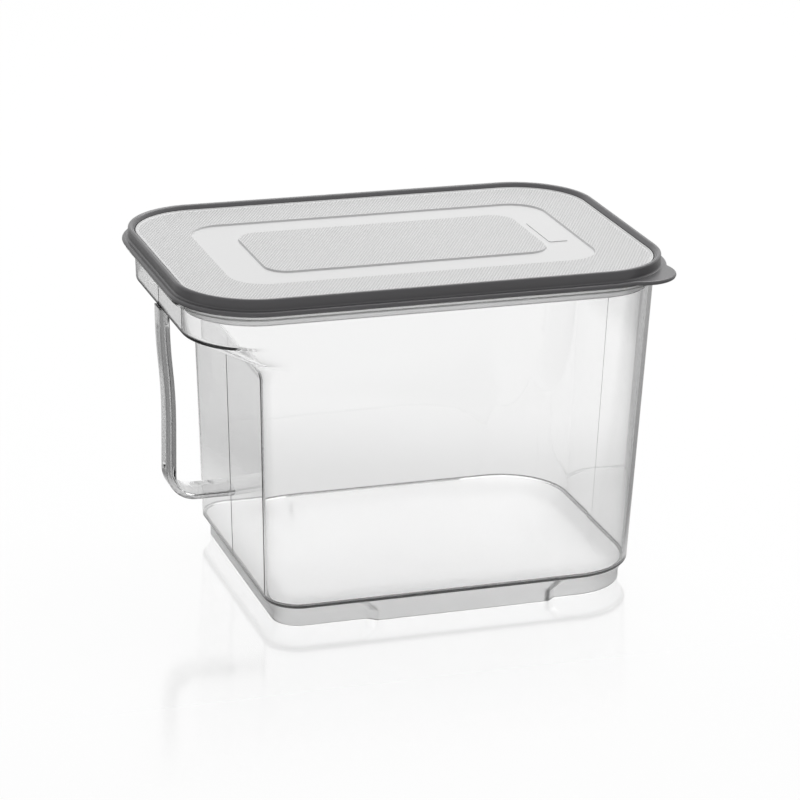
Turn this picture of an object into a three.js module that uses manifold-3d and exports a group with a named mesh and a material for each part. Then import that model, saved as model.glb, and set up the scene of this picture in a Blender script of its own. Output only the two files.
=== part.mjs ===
// Plastic food storage box with a side handle and a two-piece lid.
// Units are millimetres, +Z is up and the box stands on the plane z = 0.
// The long side runs along X, the handle is at the -X end and the front is the -Y side.
import * as THREE from 'three';
import { mergeVertices } from 'three/addons/utils/BufferGeometryUtils.js';
import Module from 'manifold-3d';

const wasm = await Module();
wasm.setup();

// Driving sizes.
const lidLength = 250;
const lidWidth = 168;
const lidCornerRadius = 41.6;
const bodyHeight = 164;
const wallThickness = 1.8;
const draftShare = 0.034;

// Sizes of the body walls.
const lidOverhang = 6;
const stepDrop = 18.7;
const recessDepth = 33.4;
const recessCornerRadius = 17;
const undersideSlopeShare = 0.4;
const undersideEdgeRadius = 1.2;
const undersideInnerRadius = 0.8;
const undersideFilletRadius = 7;
const recessDraftShare = 0.036;
const partingRidgeHeight = 0.2;
const partingRidgeHalfWidth = 0.35;

// Sizes of the body rim.
const rimFlangeReach = 4.5;
const rimFlangeThickness = 2.4;
const rimFlangeEdge = 0.5;
const rimUpstand = 2.3;
const rimUpstandEdge = 0.4;

// Sizes of the floor and the foot ring.
const floorUnderLevel = 10.4;
const floorThickness = 1.8;
const bottomEdgeRadius = 1.2;
const floorFilletRadius = 1.6;
const footInset = 4;
const footBevelTopInset = 1.1;
const footFaceHeight = 5;
const footWall = 2;
const footBury = 0.6;
const skirtInset = 0.5;
const skirtTopLength = 99;
const skirtBottomLength = 88;
const skirtEndRun = 3;
const gateRadius = 1.6;
const gateHeight = 0.5;

// Sizes of the lid rim, from its outer edge inwards and from its seat upwards.
const fitGap = 0.3;
const flangeThickness = 2.2;
const flangeEdge = 0.6;
const flangeReach = 2.9;
const flangeFillet = 0.8;
const beadHeight = 7.8;
const beadWidth = 3.4;
const beadOuterRadius = 1.1;
const beadInnerDrop = 2.2;
const tabRadius = 18;
const tabSetBack = 2.8;
const tabRootRadius = 1.6;

// Sizes of the lid panel.
const panelTop = 5.2;
const panelThickness = 1.7;
const panelLipRise = 0.6;
const panelLipWidth = 0.7;
const panelLipFillet = 0.9;
const recessPanelLength = 185;
const recessPanelWidth = 100;
const recessPanelRadius = 17;
const recessPanelDrop = 1;
const plateauLength = 145;
const plateauWidth = 66;
const plateauRadius = 12;
const stepSlope = 0.5;
const plateLength = 10;
const plateWidth = 34;
const plateRadius = 1.5;
const plateRise = 0.4;
const plateCentre = 81.3;
const plugThickness = 1.5;
const plugStandOff = 0.9;
const plugDepth = 7;
const sealLipHeight = 0.9;
const sealLipFirst = 1.6;
const sealLipPitch = 2.6;

// Sizes of the handle.
const handleOuterWidth = 12.4;
const handleInnerWidth = 18.4;
const handleThickness = 4;
const handleEdge = 0.7;
const handleProud = 0.9;
const handleLean = 3.2;
const handleLeanRun = 65;
const handleUnderLevel = 45.8;
const handleBendRadius = 15;
const channelWidth = 5.6;
const channelDepth = 1;
const channelTopDrop = 8;
const channelBottomLevel = 62;
const handleBury = 6;
const ridgeClearance = 0.3;

// Facet counts.
const cornerSteps = 12;
const filletSteps = 6;
const bendSteps = 10;
const discSteps = 40;

// Levels and half sizes that follow from the driving sizes.
const recessTopLevel = bodyHeight - stepDrop;
const lidHalfLength = lidLength / 2;
const lidHalfWidth = lidWidth / 2;
const rimHalfLength = lidHalfLength - lidOverhang;
const rimHalfWidth = lidHalfWidth - lidOverhang;
const rimRadius = lidCornerRadius - lidOverhang;
const recessWallTop = -rimHalfLength + recessDepth;
const floorTopLevel = floorUnderLevel + floorThickness;

/** Turns a geometry into a solid for the fitting operations. */
function solid(geometry) {
  const bare = geometry.clone();
  bare.deleteAttribute('normal');
  bare.deleteAttribute('uv');
  const merged = mergeVertices(bare);
  const mesh = new wasm.Mesh({
    numProp: 3,
    vertProperties: new Float32Array(merged.attributes.position.array),
    triVerts: new Uint32Array(merged.index.array),
  });
  return new wasm.Manifold(mesh);
}

/** Turns a solid back into a geometry. */
function shaped(body) {
  const mesh = body.getMesh();
  const geometry = new THREE.BufferGeometry();
  geometry.setAttribute('position', new THREE.BufferAttribute(new Float32Array(mesh.vertProperties), 3));
  geometry.setIndex(new THREE.BufferAttribute(new Uint32Array(mesh.triVerts), 1));
  geometry.computeVertexNormals();
  return geometry;
}

/** Adds the points of one quarter-round corner to an outline. */
function addCorner(points, x, y, radius, startAngle) {
  for (let step = 0; step <= cornerSteps; step += 1) {
    const angle = startAngle + (Math.PI / 2) * (step / cornerSteps);
    points.push(new THREE.Vector2(x + radius * Math.cos(angle), y + radius * Math.sin(angle)));
  }
}

/** Gives a rounded box outline, anticlockwise from the middle of its right end. */
function outline({ left, right, halfWidth, leftRadius, rightRadius, ridge = 0 }) {
  const points = [];
  points.push(new THREE.Vector2(right + ridge, 0));
  points.push(new THREE.Vector2(right, partingRidgeHalfWidth));
  addCorner(points, right - rightRadius, halfWidth - rightRadius, rightRadius, 0);
  addCorner(points, left + leftRadius, halfWidth - leftRadius, leftRadius, Math.PI / 2);
  points.push(new THREE.Vector2(left, partingRidgeHalfWidth));
  points.push(new THREE.Vector2(left - ridge, 0));
  points.push(new THREE.Vector2(left, -partingRidgeHalfWidth));
  addCorner(points, left + leftRadius, leftRadius - halfWidth, leftRadius, Math.PI);
  addCorner(points, right - rightRadius, rightRadius - halfWidth, rightRadius, -Math.PI / 2);
  points.push(new THREE.Vector2(right, -partingRidgeHalfWidth));
  return points;
}

/** Joins rings of equal count into one closed surface, capped at both ends or closed on itself. */
function skin(rings, closed) {
  const count = rings[0].length;
  const positions = [];
  const index = [];
  for (const ring of rings) {
    for (const point of ring) {
      positions.push(point.x, point.y, point.z);
    }
  }
  const bands = closed ? rings.length : rings.length - 1;
  for (let band = 0; band < bands; band += 1) {
    const lower = band * count;
    const upper = ((band + 1) % rings.length) * count;
    for (let side = 0; side < count; side += 1) {
      const next = (side + 1) % count;
      index.push(lower + side, lower + next, upper + next);
      index.push(lower + side, upper + next, upper + side);
    }
  }
  if (!closed) {
    addCap(positions, index, rings[0], 0, false);
    addCap(positions, index, rings[rings.length - 1], (rings.length - 1) * count, true);
  }
  const geometry = new THREE.BufferGeometry();
  geometry.setAttribute('position', new THREE.Float32BufferAttribute(positions, 3));
  geometry.setIndex(index);
  return geometry;
}

/** Closes one end ring with a fan from its middle. */
function addCap(positions, index, ring, first, last) {
  const middle = new THREE.Vector3();
  for (const point of ring) {
    middle.addScaledVector(point, 1 / ring.length);
  }
  const centre = positions.length / 3;
  positions.push(middle.x, middle.y, middle.z);
  for (let side = 0; side < ring.length; side += 1) {
    const here = first + side;
    const next = first + ((side + 1) % ring.length);
    index.push(centre, last ? here : next, last ? next : here);
  }
}

/** Lifts a flat outline to a level. */
function lifted(points, level) {
  return points.map((point) => new THREE.Vector3(point.x, point.y, level));
}

/** Gives one level of the body: its outline moved in by an inset. */
function bodyRing({ inset, level, left, leftRadius, ridge = 0 }) {
  const run = draftShare * (bodyHeight - level);
  const points = outline({
    left: left + inset,
    right: rimHalfLength - run - inset,
    halfWidth: rimHalfWidth - run - inset,
    leftRadius: leftRadius - inset,
    rightRadius: rimRadius - inset,
    ridge,
  });
  return lifted(points, level);
}

/** Gives the recessed end wall's place at a level. */
function recessWallAt(level) {
  return recessWallTop + recessDraftShare * (recessTopLevel - level);
}

/** Gives the corners of the step under the rim, along y = 0, moved in by an inset. */
function stepCorners(inset = 0) {
  const endX = -rimHalfLength + draftShare * (bodyHeight - recessTopLevel);
  const slope = new THREE.Vector2(1, -undersideSlopeShare).normalize();
  const lift = inset / slope.x;
  const slopeAt = (x) => recessTopLevel + lift - (x - endX) * undersideSlopeShare;
  const edge = new THREE.Vector2(endX + inset, slopeAt(endX + inset));
  const meet = new THREE.Vector2(recessWallTop + inset, slopeAt(recessWallTop + inset));
  const edgeRadius = inset > 0 ? undersideInnerRadius : undersideEdgeRadius;
  const filletRadius = undersideFilletRadius + inset;
  const wallLevel = meet.y - filletRadius;
  return {
    edge,
    meet,
    edgeStart: new THREE.Vector2(edge.x, edge.y + edgeRadius),
    edgeEnd: edge.clone().addScaledVector(slope, edgeRadius),
    filletStart: meet.clone().addScaledVector(slope, -filletRadius),
    filletEnd: new THREE.Vector2(recessWallAt(wallLevel) + inset, wallLevel),
  };
}

/** Gives the body's rings down its step, moved in by an inset. */
function stepRings(inset) {
  const corners = stepCorners(inset);
  const edgeCurve = new THREE.QuadraticBezierCurve(corners.edgeStart, corners.edge, corners.edgeEnd);
  const filletCurve = new THREE.QuadraticBezierCurve(corners.filletStart, corners.meet, corners.filletEnd);
  const run = corners.filletEnd.x - corners.edgeStart.x;
  const rings = [];
  for (const curve of [edgeCurve, filletCurve]) {
    for (let step = 0; step <= filletSteps; step += 1) {
      const point = curve.getPoint(step / filletSteps);
      const share = (point.x - corners.edgeStart.x) / run;
      rings.push(bodyRing({
        inset,
        level: point.y,
        left: point.x - inset,
        leftRadius: THREE.MathUtils.lerp(rimRadius, recessCornerRadius, share),
        ridge: inset > 0 ? 0 : partingRidgeHeight,
      }));
    }
  }
  return rings;
}

/** Gives a body ring above the step. */
function rimRing(inset, level, ridge = 0) {
  const left = -rimHalfLength + draftShare * (bodyHeight - level);
  return bodyRing({ inset, level, left, leftRadius: rimRadius, ridge });
}

/** Gives a body ring below the step. */
function wallRing(inset, level, ridge = 0) {
  return bodyRing({ inset, level, left: recessWallAt(level), leftRadius: recessCornerRadius, ridge });
}

/** Gives the shell of the box: walls, step, rim flange, upstand and raised floor. */
function bodyShell() {
  const rings = [];
  for (let step = 0; step <= filletSteps; step += 1) {
    const angle = (Math.PI / 2) * (step / filletSteps);
    const inset = bottomEdgeRadius * (1 - Math.sin(angle));
    const level = floorUnderLevel + bottomEdgeRadius * (1 - Math.cos(angle));
    rings.push(wallRing(inset, level, partingRidgeHeight));
  }
  rings.push(...stepRings(0).reverse());
  const flangeUnder = bodyHeight - rimFlangeThickness;
  const upstandTop = bodyHeight + rimUpstand;
  rings.push(rimRing(0, flangeUnder, partingRidgeHeight));
  rings.push(rimRing(rimFlangeEdge - rimFlangeReach, flangeUnder));
  rings.push(rimRing(-rimFlangeReach, flangeUnder + rimFlangeEdge));
  rings.push(rimRing(-rimFlangeReach, bodyHeight - rimFlangeEdge));
  rings.push(rimRing(rimFlangeEdge - rimFlangeReach, bodyHeight));
  rings.push(rimRing(0, bodyHeight));
  rings.push(rimRing(0, upstandTop - rimUpstandEdge));
  rings.push(rimRing(rimUpstandEdge, upstandTop));
  rings.push(rimRing(wallThickness - rimUpstandEdge, upstandTop));
  rings.push(rimRing(wallThickness, upstandTop - rimUpstandEdge));
  rings.push(...stepRings(wallThickness));
  for (let step = 0; step <= filletSteps; step += 1) {
    const angle = (Math.PI / 2) * (step / filletSteps);
    const inset = wallThickness + floorFilletRadius * (1 - Math.cos(angle));
    const level = floorTopLevel + floorFilletRadius * (1 - Math.sin(angle));
    rings.push(wallRing(inset, level));
  }
  return skin(rings, false);
}

/** Gives a ring of the foot, set in from the floor's outline. */
function footRing(inset, level) {
  const ring = wallRing(inset, floorUnderLevel);
  return ring.map((point) => new THREE.Vector3(point.x, point.y, level));
}

/** Gives a straight-sided block on the floor's outline, tapering between two levels. */
function footBlock(bottomInset, faceTop, topInset, bottom, top) {
  const rings = [footRing(bottomInset, bottom), footRing(bottomInset, faceTop)];
  rings.push(footRing(topInset, floorUnderLevel));
  if (top > floorUnderLevel) {
    rings.push(footRing(topInset, top));
  }
  return solid(skin(rings, false));
}

/** Gives the window of the long sides where the foot is flush, narrower outwards and downwards. */
function skirtWindow(shrink) {
  const rightEnd = rimHalfLength - draftShare * (bodyHeight - floorUnderLevel);
  const middle = (recessWallAt(floorUnderLevel) + rightEnd) / 2;
  const lean = (skirtTopLength - skirtBottomLength) / 2 / floorUnderLevel;
  const ringAt = (y, grow) => {
    const top = skirtTopLength / 2 - shrink + grow + lean * footBury;
    const low = skirtBottomLength / 2 - shrink + grow - lean * footBury;
    return [
      new THREE.Vector3(middle - low, y, -footBury),
      new THREE.Vector3(middle - top, y, floorUnderLevel + footBury),
      new THREE.Vector3(middle + top, y, floorUnderLevel + footBury),
      new THREE.Vector3(middle + low, y, -footBury),
    ];
  };
  const outer = rimHalfWidth - draftShare * (bodyHeight - floorUnderLevel) - skirtInset;
  const inner = outer - skirtEndRun;
  const past = skirtEndRun;
  const rings = [
    ringAt(-outer - past, -past),
    ringAt(-outer, 0),
    ringAt(-inner, skirtEndRun),
    ringAt(inner, skirtEndRun),
    ringAt(outer, 0),
    ringAt(outer + past, -past),
  ];
  return solid(skin(rings, false));
}

/** Gives the foot ring: set in at the corners and ends, flush in the middle of the long sides. */
function foot() {
  const top = floorUnderLevel + footBury;
  const underTop = floorUnderLevel;
  const setIn = footBlock(footInset, footFaceHeight, footBevelTopInset, 0, top);
  const flush = footBlock(skirtInset, footFaceHeight, skirtInset, 0, top).intersect(skirtWindow(0));
  const setInHollow = footBlock(
    footInset + footWall,
    footFaceHeight,
    footBevelTopInset + footWall,
    -footBury,
    underTop,
  );
  const flushInset = skirtInset + footWall;
  const flushHollow = footBlock(flushInset, footFaceHeight, flushInset, -footBury, underTop)
    .intersect(skirtWindow(footWall));
  return setIn.add(flush).subtract(setInHollow.add(flushHollow));
}

/** Gives the moulding gate's small round vestige under the floor. */
function gate() {
  const profile = [
    new THREE.Vector2(0, 0),
    new THREE.Vector2(gateRadius, 0),
    new THREE.Vector2(gateRadius, gateHeight + footBury),
    new THREE.Vector2(0, gateHeight + footBury),
  ];
  const geometry = new THREE.LatheGeometry(profile, discSteps);
  geometry.rotateX(Math.PI / 2);
  geometry.translate(0, 0, floorUnderLevel - gateHeight);
  return solid(geometry);
}

/** Gives a ring of the lid, set in from its outer edge and raised from its seat. */
function lidRing(inset, rise) {
  const points = outline({
    left: -lidHalfLength + inset,
    right: lidHalfLength - inset,
    halfWidth: lidHalfWidth - inset,
    leftRadius: lidCornerRadius - inset,
    rightRadius: lidCornerRadius - inset,
  });
  return lifted(points, bodyHeight + rise);
}

/** Adds an arc to a list of inset and rise pairs. */
function addArc(pairs, inset, rise, radius, startAngle, endAngle, steps) {
  for (let step = 0; step <= steps; step += 1) {
    const angle = THREE.MathUtils.lerp(startAngle, endAngle, step / steps);
    pairs.push([inset - radius * Math.cos(angle), rise + radius * Math.sin(angle)]);
  }
}

// Places across the lid rim that several of its features share.
const wallInset = lidOverhang;
const grooveOuter = wallInset - fitGap;
const grooveInner = wallInset + wallThickness + fitGap;
const grooveRoof = rimUpstand + fitGap;
const webTop = panelTop - panelThickness;
const panelPocket = flangeReach + beadWidth;
const plugOuter = wallInset + wallThickness + plugStandOff;
const plugInner = plugOuter + plugThickness;
const webInner = plugOuter - fitGap;

/** Gives the dark rim of the lid with its flange, bead, web under the panel and groove for the upstand. */
function lidRimRing() {
  const pairs = [];
  pairs.push([flangeEdge, 0]);
  pairs.push([0, flangeEdge]);
  addArc(pairs, flangeEdge, flangeThickness - flangeEdge, flangeEdge, 0, Math.PI / 2, filletSteps);
  pairs.push([flangeReach - flangeFillet, flangeThickness]);
  const filletSlack = flangeFillet * (1 - Math.SQRT1_2);
  pairs.push([flangeReach - filletSlack, flangeThickness + filletSlack]);
  pairs.push([flangeReach, flangeThickness + flangeFillet]);
  const crownInset = flangeReach + beadOuterRadius;
  addArc(pairs, crownInset, beadHeight - beadOuterRadius, beadOuterRadius, 0, Math.PI / 2, filletSteps);
  const slopeSteps = filletSteps;
  const slopeRun = beadWidth - beadOuterRadius;
  for (let step = 1; step <= slopeSteps; step += 1) {
    const share = step / slopeSteps;
    pairs.push([crownInset + slopeRun * share, beadHeight - beadInnerDrop * share * share]);
  }
  pairs.push([panelPocket, webTop]);
  pairs.push([webInner, webTop]);
  pairs.push([webInner, grooveRoof]);
  pairs.push([grooveOuter, grooveRoof]);
  pairs.push([grooveOuter, 0]);
  return solid(skin(pairs.map(([inset, rise]) => lidRing(inset, rise)), true));
}

/** Gives the round pull tab at the front right corner of the lid rim. */
function pullTab() {
  const x = lidHalfLength - tabSetBack - tabRadius;
  const y = tabRadius - lidHalfWidth;
  const edgeSlack = flangeEdge * (1 - Math.SQRT1_2);
  const profile = [
    new THREE.Vector2(0, 0),
    new THREE.Vector2(tabRadius - flangeEdge / 2, 0),
    new THREE.Vector2(tabRadius, flangeEdge / 2),
    new THREE.Vector2(tabRadius, flangeThickness - flangeEdge),
    new THREE.Vector2(tabRadius - edgeSlack, flangeThickness - edgeSlack),
    new THREE.Vector2(tabRadius - flangeEdge, flangeThickness),
    new THREE.Vector2(0, flangeThickness),
  ];
  const disc = new THREE.LatheGeometry(profile, discSteps * 2);
  disc.rotateX(Math.PI / 2);
  disc.translate(x, y, bodyHeight);
  const tower = new THREE.CylinderGeometry(tabRadius, tabRadius, bodyHeight, discSteps * 2);
  tower.rotateX(Math.PI / 2);
  tower.translate(x, y, bodyHeight);
  const wallMiddle = (flangeReach + grooveOuter) / 2;
  const cove = [[wallMiddle, flangeThickness / 2], [flangeReach - tabRootRadius, flangeThickness / 2]];
  for (let step = 0; step <= filletSteps; step += 1) {
    const angle = (Math.PI / 2) * (step / filletSteps);
    cove.push([
      flangeReach - tabRootRadius * (1 - Math.sin(angle)),
      flangeThickness + tabRootRadius * (1 - Math.cos(angle)),
    ]);
  }
  cove.push([wallMiddle, flangeThickness + tabRootRadius]);
  const root = solid(skin(cove.map(([inset, rise]) => lidRing(inset, rise)), true)).intersect(solid(tower));
  const core = solid(skin([lidRing(wallMiddle, -flangeThickness), lidRing(wallMiddle, beadHeight)], false));
  return solid(disc).subtract(core).add(root);
}

/** Gives a rounded block whose outline grows by a spread from its bottom to its top. */
function block({ length, width, radius, bottom, top, spread = 0, x = 0 }) {
  const ringAt = (grow, level) => {
    const points = outline({
      left: x - length / 2 - grow,
      right: x + length / 2 + grow,
      halfWidth: width / 2 + grow,
      leftRadius: radius + grow,
      rightRadius: radius + grow,
    });
    return lifted(points, level);
  };
  return solid(skin([ringAt(0, bottom), ringAt(spread, top)], false));
}

/** Gives the plug under the panel: a thin skirt with two sealing lips that reach for the wall. */
function plug() {
  const pairs = [
    [plugInner, webTop + panelThickness / 2],
    [plugInner, sealLipHeight - plugDepth],
    [plugInner - sealLipHeight / 2, -plugDepth],
    [plugOuter + sealLipHeight / 2, -plugDepth],
    [plugOuter + draftShare * plugDepth, sealLipHeight - plugDepth],
  ];
  for (const order of [1, 0]) {
    const middle = -sealLipFirst - order * sealLipPitch;
    const lean = draftShare * -middle;
    pairs.push([plugOuter + lean, middle - sealLipHeight / 2]);
    pairs.push([grooveInner + lean, middle]);
    pairs.push([plugOuter + lean, middle + sealLipHeight / 2]);
  }
  pairs.push([plugOuter, webTop + panelThickness / 2]);
  return solid(skin(pairs.map(([inset, rise]) => lidRing(inset, rise)), true));
}

/** Gives the light panel of the lid with its stepped recess, plateau, bare plate and sealing plug. */
function lidPanel() {
  const edge = panelPocket + fitGap;
  const lipTop = panelTop + panelLipRise;
  const rings = [
    lidRing(edge, webTop),
    lidRing(edge, lipTop - panelLipRise / 2),
    lidRing(edge + panelLipWidth / 2, lipTop),
    lidRing(edge + panelLipWidth, lipTop),
    lidRing(edge + panelLipWidth + panelLipFillet / 2, panelTop + panelLipRise / 4),
    lidRing(edge + panelLipWidth + panelLipFillet, panelTop),
  ];
  const seat = bodyHeight + webTop;
  const face = bodyHeight + panelTop;
  const low = face - recessPanelDrop;
  const recess = { length: recessPanelLength, width: recessPanelWidth, radius: recessPanelRadius };
  const plateau = { length: plateauLength, width: plateauWidth, radius: plateauRadius };
  const tray = block({
    ...recess,
    bottom: seat - recessPanelDrop,
    top: seat + recessPanelDrop,
    spread: stepSlope,
  });
  const hollow = block({ ...plateau, bottom: seat - 2 * recessPanelDrop, top: seat, spread: -stepSlope });
  const sink = block({
    ...recess,
    bottom: low,
    top: face + recessPanelDrop,
    spread: stepSlope * 2,
  });
  const rise = block({
    ...plateau,
    bottom: low,
    top: face,
    spread: -stepSlope,
  });
  const plate = block({
    length: plateLength,
    width: plateWidth,
    radius: plateRadius,
    bottom: low - recessPanelDrop / 2,
    top: low + plateRise,
    spread: -plateRise / 2,
    x: plateCentre,
  });
  return solid(skin(rings, false))
    .add(tray)
    .subtract(hollow)
    .subtract(sink.subtract(rise))
    .add(plate)
    .add(plug());
}

/** Gives the handle's middle line, from above the step down, round the bend and to the end wall. */
function handlePath() {
  const corners = stepCorners();
  const half = handleThickness / 2;
  const topX = corners.edge.x - handleProud + half;
  const topLevel = recessTopLevel + handleBury / 2;
  const lowX = topX + handleLean;
  const lowLevel = topLevel - handleLeanRun;
  const armLevel = handleUnderLevel + half;
  const bend = handleBendRadius - half;
  const line = new THREE.CurvePath();
  const start = new THREE.Vector2(topX, topLevel);
  const leave = new THREE.Vector2(topX, topLevel - handleLeanRun / 2);
  const join = new THREE.Vector2(lowX, lowLevel + handleLeanRun / 2);
  const straight = new THREE.Vector2(lowX, lowLevel);
  const bendStart = new THREE.Vector2(lowX, armLevel + bend);
  const bendEnd = new THREE.Vector2(lowX + bend, armLevel);
  const finish = new THREE.Vector2(recessWallAt(armLevel) + handleBury, armLevel);
  line.add(new THREE.CubicBezierCurve(start, leave, join, straight));
  line.add(new THREE.LineCurve(straight, bendStart));
  line.add(new THREE.EllipseCurve(
    lowX + bend,
    armLevel + bend,
    bend,
    bend,
    Math.PI,
    1.5 * Math.PI,
    false,
    0,
  ));
  line.add(new THREE.LineCurve(bendEnd, finish));
  return line;
}

/** Sweeps a section, given as across and outward pairs, along the handle's middle line. */
function alongHandle(section) {
  const rings = [];
  const place = (curve, share) => {
    const point = curve.getPoint(share);
    const along = curve.getTangent(share);
    rings.push(section.map(([outward, across]) => new THREE.Vector3(
      point.x + along.y * outward,
      across,
      point.y - along.x * outward,
    )));
  };
  const [lean, straight, bend, arm] = handlePath().curves;
  for (let step = 0; step < bendSteps; step += 1) {
    place(lean, step / bendSteps);
  }
  place(straight, 0);
  for (let step = 0; step < bendSteps; step += 1) {
    place(bend, step / bendSteps);
  }
  place(arm, 0);
  place(arm, 1);
  return solid(skin(rings, false));
}

/** Gives the space the body takes next to the handle, as a prism along Y that can be grown. */
function bodySide(halfDepth, grow) {
  const corners = stepCorners();
  const reach = -lidHalfLength;
  const slopeAt = (x) => corners.edge.y - (x - corners.edge.x) * undersideSlopeShare;
  const floorLevel = floorUnderLevel + bottomEdgeRadius;
  const shape = new THREE.Shape();
  shape.moveTo(reach, slopeAt(reach) - grow);
  shape.lineTo(corners.filletStart.x - grow, corners.filletStart.y - grow);
  shape.lineTo(corners.filletEnd.x - grow, corners.filletEnd.y);
  shape.lineTo(recessWallAt(floorLevel) - grow, floorLevel);
  shape.lineTo(0, floorLevel);
  shape.lineTo(0, bodyHeight);
  shape.lineTo(reach, bodyHeight);
  shape.closePath();
  const geometry = new THREE.ExtrudeGeometry(shape, { depth: halfDepth * 2, bevelEnabled: false });
  geometry.rotateX(Math.PI / 2);
  geometry.translate(0, halfDepth, 0);
  return solid(geometry);
}

/** Gives the handle: a strap with bevelled flanks, a long finger channel and a flat arm. */
function handle() {
  const half = handleThickness / 2;
  const outerHalf = handleOuterWidth / 2;
  const innerHalf = handleInnerWidth / 2;
  const bar = alongHandle([
    [half, -outerHalf + handleEdge],
    [half, outerHalf - handleEdge],
    [half - handleEdge, outerHalf],
    [handleEdge - half, innerHalf],
    [-half, innerHalf - handleEdge],
    [-half, handleEdge - innerHalf],
    [handleEdge - half, -innerHalf],
    [half - handleEdge, -outerHalf],
  ]);
  const trough = alongHandle([
    [half - channelDepth, -channelWidth / 2],
    [half + channelDepth, -channelWidth / 2],
    [half + channelDepth, channelWidth / 2],
    [half - channelDepth, channelWidth / 2],
  ]);
  const top = recessTopLevel - channelTopDrop;
  const round = channelWidth / 2;
  const shape = new THREE.Shape();
  shape.absarc(0, top - round, round, 0, Math.PI, false);
  shape.absarc(0, channelBottomLevel + round, round, Math.PI, 2 * Math.PI, false);
  shape.closePath();
  const window = new THREE.ExtrudeGeometry(shape, {
    depth: lidLength,
    bevelEnabled: false,
    curveSegments: filletSteps * 2,
  });
  window.rotateX(Math.PI / 2);
  window.rotateZ(-Math.PI / 2);
  const channel = trough.intersect(solid(window));
  const slotHalf = partingRidgeHalfWidth + ridgeClearance;
  return bar
    .subtract(channel)
    .subtract(bodySide(lidHalfWidth, 0))
    .subtract(bodySide(slotHalf, partingRidgeHeight + ridgeClearance));
}

/** Makes one named mesh with its own material. */
function piece(name, body, { colour, roughness, opacity = 1 }) {
  const material = new THREE.MeshStandardMaterial({ color: colour, roughness, metalness: 0 });
  material.name = name;
  material.transparent = opacity < 1;
  material.opacity = opacity;
  const mesh = new THREE.Mesh(shaped(body), material);
  mesh.name = name;
  return mesh;
}

const group = new THREE.Group();
group.name = 'food_storage_box';
group.add(piece('container_body', solid(bodyShell()).add(foot()).add(gate()), {
  colour: 0xeef0f1,
  roughness: 0.06,
  opacity: 0.3,
}));
group.add(piece('handle', handle(), { colour: 0xe4e7e8, roughness: 0.08, opacity: 0.4 }));
group.add(piece('lid_rim', lidRimRing().add(pullTab()), { colour: 0x48474a, roughness: 0.42 }));
group.add(piece('lid_panel', lidPanel(), { colour: 0xdcdcdc, roughness: 0.5 }));

export default group;
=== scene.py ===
"""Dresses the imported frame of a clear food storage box: moulded shell, strap handle and two-tone lid."""

import logging
import math
from collections.abc import Sequence
from dataclasses import dataclass
from enum import Enum

import bmesh
import bpy
from mathutils import Matrix, Vector

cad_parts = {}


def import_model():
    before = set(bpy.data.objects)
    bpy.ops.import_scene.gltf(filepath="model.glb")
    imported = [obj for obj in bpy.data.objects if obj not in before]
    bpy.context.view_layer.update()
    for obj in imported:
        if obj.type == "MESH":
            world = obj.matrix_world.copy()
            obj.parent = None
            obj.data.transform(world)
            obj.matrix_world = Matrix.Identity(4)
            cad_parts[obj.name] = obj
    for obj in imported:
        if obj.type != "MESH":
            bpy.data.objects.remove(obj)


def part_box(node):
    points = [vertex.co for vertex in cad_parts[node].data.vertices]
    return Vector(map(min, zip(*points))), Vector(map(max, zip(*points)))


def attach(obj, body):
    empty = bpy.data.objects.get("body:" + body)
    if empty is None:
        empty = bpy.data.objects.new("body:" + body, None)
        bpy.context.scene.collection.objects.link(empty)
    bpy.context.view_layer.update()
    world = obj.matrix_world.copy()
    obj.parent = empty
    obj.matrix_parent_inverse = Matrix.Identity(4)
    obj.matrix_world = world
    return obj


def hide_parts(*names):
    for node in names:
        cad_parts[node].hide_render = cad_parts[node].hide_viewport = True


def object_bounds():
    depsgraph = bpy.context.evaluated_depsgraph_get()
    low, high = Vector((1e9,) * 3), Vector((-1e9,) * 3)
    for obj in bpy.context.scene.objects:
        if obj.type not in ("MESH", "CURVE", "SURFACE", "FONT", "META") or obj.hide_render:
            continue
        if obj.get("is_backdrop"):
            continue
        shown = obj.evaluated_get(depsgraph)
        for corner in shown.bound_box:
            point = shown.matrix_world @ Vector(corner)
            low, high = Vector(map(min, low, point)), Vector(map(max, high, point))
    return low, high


LOG = logging.getLogger("storage_box")

MM = 0.001
QUARTER = math.pi / 2
SHARP_ANGLE = math.radians(32)
CORNER_STEPS = 24
WHITE = "#FFFFFF"
BLACK = "#000000"

# In millimetres: half the parting ridge, and the gaps at which points merge and at which they still touch
RIDGE_HALF = 0.35
MERGE_GAP = 0.01
TOUCH_GAP = 0.001

# The sRGB curve's numbers: where its straight foot ends, the foot's slope, its lift and its power
SRGB_FOOT = 0.04045
SRGB_SLOPE = 12.92
SRGB_LIFT = 0.055
SRGB_POWER = 2.4
FULL_BYTE = 255

Pair = tuple[float, float]
Shape = tuple[float, float, float]
Settings = dict[str, object]
Inputs = dict[str | int, object] | Sequence[object]
Tree = bpy.types.NodeTree
Socket = bpy.types.NodeSocket
Material = bpy.types.Material
Mesh = bmesh.types.BMesh
Edge = bmesh.types.BMEdge
Face = bmesh.types.BMFace
Vert = bmesh.types.BMVert

# Settings that many nodes share
SMOOTH: Settings = {"interpolation_type": "SMOOTHSTEP"}
COLOURS: Settings = {"data_type": "RGBA"}
TIMES: Settings = {"operation": "MULTIPLY"}
TIMES_PLUS: Settings = {"operation": "MULTIPLY_ADD"}
LARGER: Settings = {"operation": "MAXIMUM"}


class Body(Enum):
    """The two bodies of the frame that pieces ride on."""

    BOX = "box"
    LID = "lid"


class Slot(Enum):
    """The record's material slots."""

    CLEAR = "clear_plastic"
    CLEAR_HANDLE = "clear_handle_plastic"
    RIM = "dark_grey_rim"
    PANEL = "light_grey_panel"


# Colour and nodes


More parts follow.
